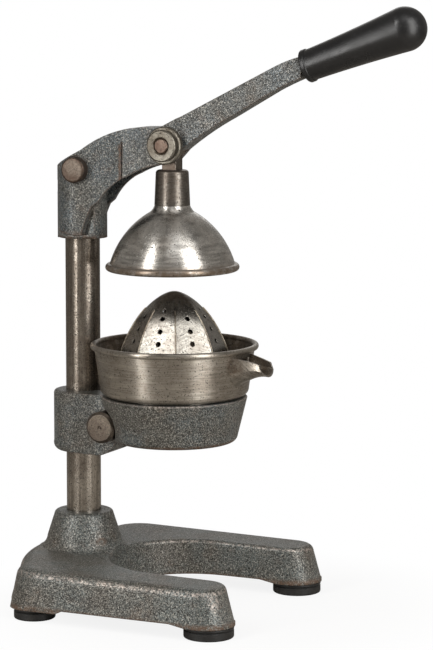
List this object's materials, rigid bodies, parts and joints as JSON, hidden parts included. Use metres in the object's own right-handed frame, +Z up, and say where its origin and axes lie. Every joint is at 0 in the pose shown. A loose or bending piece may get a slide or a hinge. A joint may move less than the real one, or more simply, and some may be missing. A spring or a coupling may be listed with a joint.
{
  "type": "lever citrus press",
  "caption": "Free-standing hand lever citrus press: cast base, steel column, pivoting lever with hanging bell, bowl with strainer cone and spout on a clamped bracket.",
  "frame": {"origin": "middle of the footprint, on the surface that the feet stand on", "axes": "+Z up along the column, +X towards the handle's end and the spout, +Y away from the clamp knob's side"},
  "size_m": [0.3666, 0.2278, 0.5173],
  "materials": {
    "base_enamel": "hammered enamel, worn to bare metal at the edges",
    "head_enamel": "hammered enamel, worn at the edges",
    "lever_enamel": "hammered enamel, worn at the edges",
    "bracket_enamel": "hammered enamel, worn at the edges",
    "foot_rubber": "dull black rubber",
    "column_steel": "worn polished, with pits and streaks",
    "zinc_fasteners": "dull plated",
    "bush_bronze": "plain turned",
    "pin_steel": "brown patina",
    "front_pin_steel": "brown patina",
    "washer_steel": "worn grey",
    "link_steel": "worn forged",
    "neck_steel": "worn turned",
    "bell_steel": "satin spun, brown at the rim",
    "knob_steel": "brown patina",
    "bowl_steel": "satin spun",
    "spout_steel": "satin",
    "cone_steel": "satin pressed",
    "grip_black": "glossy black"
  },
  "bodies": {
    "stand": {"base_casting": "base_enamel", "front_foot_near": "foot_rubber", "front_foot_far": "foot_rubber", "rear_foot_near": "foot_rubber", "rear_foot_far": "foot_rubber", "foot_screws": "zinc_fasteners", "column": "column_steel", "column_washer": "zinc_fasteners", "column_bolt": "zinc_fasteners", "head_casting": "head_enamel", "head_set_screw": "zinc_fasteners", "lug_bush": "bush_bronze"},
    "lever": {"lever_casting": "lever_enamel", "rear_pivot_pin": "pin_steel", "rear_pin_nut": "pin_steel", "front_pivot_pin": "front_pin_steel", "front_pin_washer": "washer_steel", "front_pin_collar": "washer_steel", "grip_stud": "zinc_fasteners", "handle_grip": "grip_black"},
    "bell": {"bell_link": "link_steel", "link_bush": "bush_bronze", "bell_neck": "neck_steel", "bell_shell": "bell_steel", "bell_washer": "zinc_fasteners", "bell_lock_nut": "zinc_fasteners"},
    "bracket": {"bowl_bracket": "bracket_enamel", "clamp_washer": "zinc_fasteners", "clamp_nut": "zinc_fasteners"},
    "clamp_knob": {"clamp_knob": "knob_steel"},
    "bowl": {"juice_bowl": "bowl_steel", "pouring_spout": "spout_steel"},
    "cone": {"strainer_cone": "cone_steel"}
  },
  "joints": [
    {"name": "lever_pivot", "type": "hinge", "parent": "stand", "child": "lever", "pos_m": [-0.12819, 0, 0.376], "axis": [0, 1, 0], "range_deg": [-12, 38]},
    {"name": "bell_pivot", "type": "hinge", "parent": "lever", "child": "bell", "pos_m": [-0.04639, 0, 0.3985], "axis": [0, 1, 0], "range_deg": [-39, 13]},
    {"name": "bracket_height", "type": "slide", "parent": "stand", "child": "bracket", "axis": [0, 0, 1], "range_m": [-0.05, 0]},
    {"name": "clamp_knob_turn", "type": "hinge", "parent": "bracket", "child": "clamp_knob", "pos_m": [-0.09469, -0.04, 0.1576], "axis": [0, 1, 0], "range_deg": [-180, 180]},
    {"name": "bowl_turn", "type": "hinge", "parent": "bracket", "child": "bowl", "pos_m": [-0.04459, 0, 0.182], "axis": [0, 0, 1], "range_deg": [-140, 140]},
    {"name": "cone_turn", "type": "hinge", "parent": "bowl", "child": "cone", "pos_m": [-0.04459, 0, 0.182], "axis": [0, 0, 1], "continuous": true}
  ],
  "couplings": [
    {"joint": "bell_pivot", "follows": "lever_pivot", "ratio": -1}
  ]
}
